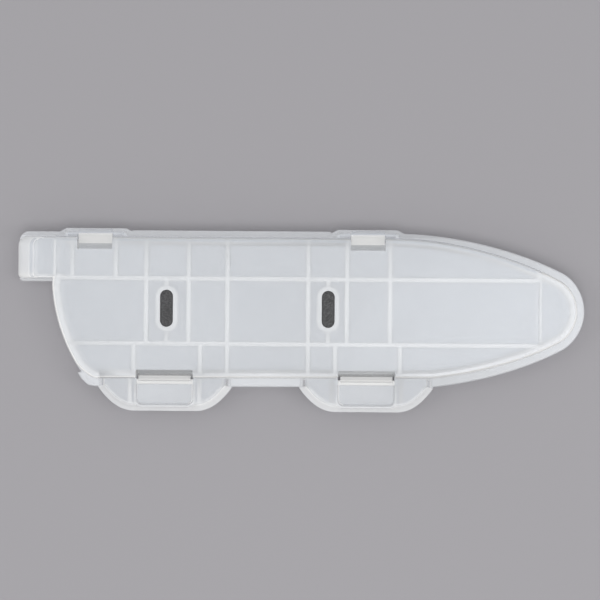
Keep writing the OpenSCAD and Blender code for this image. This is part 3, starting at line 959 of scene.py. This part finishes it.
shell_finishes = {
    # Painted light: the front shell's steps make it lighter towards the tip.
    "front": frosted("frosted front shell", (0.71, 0.735, 0.775), 0.46, sleek, (1.02, 1, 0.98, 1.06, 1.17)),
    "back": frosted("frosted back shell", (0.87, 0.89, 0.915), 0.45, sleek),
}
# Milkier skin for the slopes, partly painted light where they face the lamps; darker at the neck end.
slope_finish = frosted("frosted slope", (0.99, 0.995, 1), 0.6, sleek, (0.88, 1, 1, 1, 1))
wall_finish = frosted("clear wall skin", (0.9, 0.905, 0.92), 0.18, sleek)
# Milkier skin over the rim's thick turn; its steps are painted light, lighter at both ends, dimmer between.
rim_finish = frosted("frosted rim", (1, 1, 0.995), 0.7, sleek, (1, 0.82, 0.68, 0.6, 0.86))
# Painted shade: a darker rim skin on the spine side, which faces away from the key light.
shaded_spine_finish = frosted("frosted spine, painted shade", (0.82, 0.83, 0.845), 0.6, sleek, (0.86, 0.72, 0.66, 0.64, 0.94))
# The flange's steps are painted light and shade: darker short of the tip, lighter at the tip.
flange_finish = frosted("frosted flange", (0.77, 0.785, 0.81), 0.54, sleek, (1, 0.98, 0.97, 0.87, 1.05))
tab_finish = frosted("frosted tab", (0.70, 0.72, 0.755), 0.46, sleek)
hook_finish = frosted("frosted hook", (0.77, 0.77, 0.765), 0.7, matt)
# Painted highlight: a whiter, more opaque skin on the bevels, where the edges catch the light.
edge_highlight_finish = frosted("frosted edge, painted highlight", (0.96, 0.96, 0.955), 0.85, sleek)
mould_finish = frosted("frosted moulding", (0.89, 0.89, 0.885), 0.7, matt)
thin_finish = frosted("thin frosted skin", (0.73, 0.755, 0.80), 0.3, sleek)
heart_finishes = (
    frosted("milky wall", (0.8, 0.8, 0.8), 1, matt),
    # The fin's steps are painted light: lighter at both ends, where the fills fall, dimmer between.
    frosted("milky fin", (1, 0.995, 0.985), 0.78, matt, (1.1, 0.62, 0.52, 0.54, 0.85)),
    frosted("milky ramp end", (1, 0.995, 0.985), 0.3, matt),
    # The heart's spine side: the thin skin as painted shade.
    thin_finish,
)
pad_finish = rubber("grip rubber")
shell_skins = (edge_highlight_finish, slope_finish, flange_finish, tab_finish, wall_finish, rim_finish, shaded_spine_finish)


def skin_slots(shell):
    """Gives the slopes of the thumb tabs, the ramp of the neck and the rim of the face milkier skins, and the
    flange and the rest of the tabs skins of their own. The upright walls and the steep part of the rim are
    clear, so that their milky heart shows, and the flat part of the rim at the spine gets a thinner, darker
    skin, painted shade on the side away from the key light. The skins of the slopes and the rim are partly
    painted light as well."""
    above_flange = half_h + flange_t + parting_gap
    for face in shell.data.polygons:
        x, y, z = face.center / MM
        rise = abs(face.normal.z)
        outside = face.normal.y * (y - pad_y) > 0 or face.normal.x * x > 0
        at_latch = y < window_top_y + 1 and min(abs(x - tab_x) for tab_x in tab_xs) < window_half + 1
        at_hinge = y > hinge_window_y - 1 and min(abs(x - hinge_x) for hinge_x in hinge_xs) < lug_half
        if abs(z - half_h) < flange_t + parting_gap / 2:
            face.material_index = FLANGE
        elif upright < rise < level and outside:
            if y < edge_y + 1 or x < neck_left + 2 * neck_ramp and y > neck_low["back"]:
                face.material_index = SLOPE
            elif rise < leaning:
                face.material_index = WALL
            else:
                # Painted shade: the spine side of the rim gets the darker skin.
                face.material_index = SHADED_SPINE if y > tip_top[1] else RIM
        elif rise < upright and outside and not at_latch and not at_hinge:
            face.material_index = WALL
        elif rise < recess_upright and at_latch and y < keeper_out_y and z > above_flange:
            face.material_index = WALL
        elif y < edge_y:
            face.material_index = TAB


def finish_piece(solid, half, body, node, finish, slot, edge=0):
    """Puts a piece in its half's place, softens its edges, gives it its finish and lets it stand for its
    construction node. Of these pieces only those in the back half, apart from its ribs, cast a shadow."""
    put(solid, half)
    solid.name = node + "_look"
    solid.data.materials.clear()
    soften(solid, edge)
    solid.data.materials.append(finish)
    if slot == "frosted_shell":
        for more in shell_skins:
            solid.data.materials.append(more)
        # The bevels take the edge skin: a painted highlight along the shell's edges.
        solid.modifiers["soft edges"].material = EDGE_HIGHLIGHT
        skin_slots(solid)
    solid.visible_shadow = half == "back" and "grid" not in node
    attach(solid, body)
    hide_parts(node)


for half in ("back", "front"):
    finish_piece(half_shell(half), half, half, half + "_shell", shell_finishes[half], "frosted_shell", 0.25)
    finish_piece(rib_grid(), half, half, half + "_rib_grid", mould_finish, "frosted_moulding")
    heart = soften(put(wall_heart(half), half), 0)
    heart.name = half + "_wall_heart"
    heart.visible_shadow = False
    for finish in heart_finishes:
        heart.data.materials.append(finish)
    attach(heart, half)
    for side, x in zip(SIDES, pad_xs):
        finish_piece(pad_socket(x), half, half, f"{half}_pad_socket_{side}", mould_finish,
                     "frosted_moulding", 0.15)
        finish_piece(grip_pad(x), half, half, f"{half}_grip_pad_{side}", pad_finish, "grip_rubber")
for side, x in zip(SIDES, hinge_xs):
    hook = hinge_hook(x)
    finish_piece(hook, "front", "back", f"hinge_hook_{side}", hook_finish, "frosted_moulding", 0.15)
    hook.data.materials.append(thin_finish)
    past_pin = [polygon.center.y > (axis_y + 0.1) * MM for polygon in hook.data.polygons]
    hook.data.polygons.foreach_set("material_index", np.array(past_pin, np.int32))
    finish_piece(hinge_pin(x), "front", "front", f"hinge_pin_{side}", thin_finish, "frosted_moulding")
for side, x in zip(SIDES, tab_xs):
    finish_piece(latch_keeper(x), "front", "front", f"latch_keeper_{side}", mould_finish,
                 "frosted_moulding")
    finish_piece(latch_hook(x), "front", f"latch_{side}", f"latch_hook_{side}", hook_finish,
                 "frosted_moulding", 0.2)


# Floor, light and camera
def make_stage():
    """A plain grey floor, far larger than the guard."""
    reach = 4000
    floor = block("floor", (-reach, -reach, -20), (reach, reach, 0))
    material, shader = principled("floor")
    shader.inputs["Base Color"].default_value = (0.375, 0.365, 0.385, 1)
    shader.inputs["Roughness"].default_value = 0.85
    floor.data.materials.append(material)


def area_light(name, at, size, power):
    """A square soft light that looks at the guard."""
    light = bpy.data.lights.new(name, "AREA")
    light.shape = "SQUARE"
    light.size = size
    light.energy = power
    lamp = bpy.data.objects.new(name, light)
    lamp.location = at
    lamp.rotation_mode = "QUATERNION"
    lamp.rotation_quaternion = (Vector((0, 0, half_h * MM)) - Vector(at)).to_track_quat("-Z", "Y")
    bpy.context.scene.collection.objects.link(lamp)


def make_light():
    """A broad key from the edge side, weaker fill from both ends, and a pale sky."""
    area_light("key", (0.05, -0.4, 1.7), 1.1, 10)
    area_light("left fill", (-1.4, 0.0, 1.2), 0.9, 4)
    area_light("right fill", (1.4, -0.3, 1.2), 0.9, 5)
    world = bpy.data.worlds.new("studio")
    world.use_nodes = True
    world.node_tree.nodes["Background"].inputs["Color"].default_value = (1, 1, 1, 1)
    world.node_tree.nodes["Background"].inputs["Strength"].default_value = 0.55
    bpy.context.scene.world = world


def make_camera():
    """A camera straight above the guard, turned by the photograph's slight roll."""
    distance, frame_width, roll = 1.2, 0.318, math.radians(0.42)
    middle_x, middle_y = -0.0007155, 0.0109975
    camera = bpy.data.cameras.new("camera")
    camera.sensor_width = 36
    camera.lens = camera.sensor_width * distance / frame_width
    camera.clip_start, camera.clip_end = 0.05, 20
    eye = bpy.data.objects.new("camera", camera)
    eye.location = (middle_x, middle_y, half_h * MM + distance)
    eye.rotation_euler = (0, 0, roll)
    bpy.context.scene.collection.objects.link(eye)
    bpy.context.scene.camera = eye


make_stage()
make_light()
make_camera()
bpy.context.scene.view_settings.view_transform = "Standard"
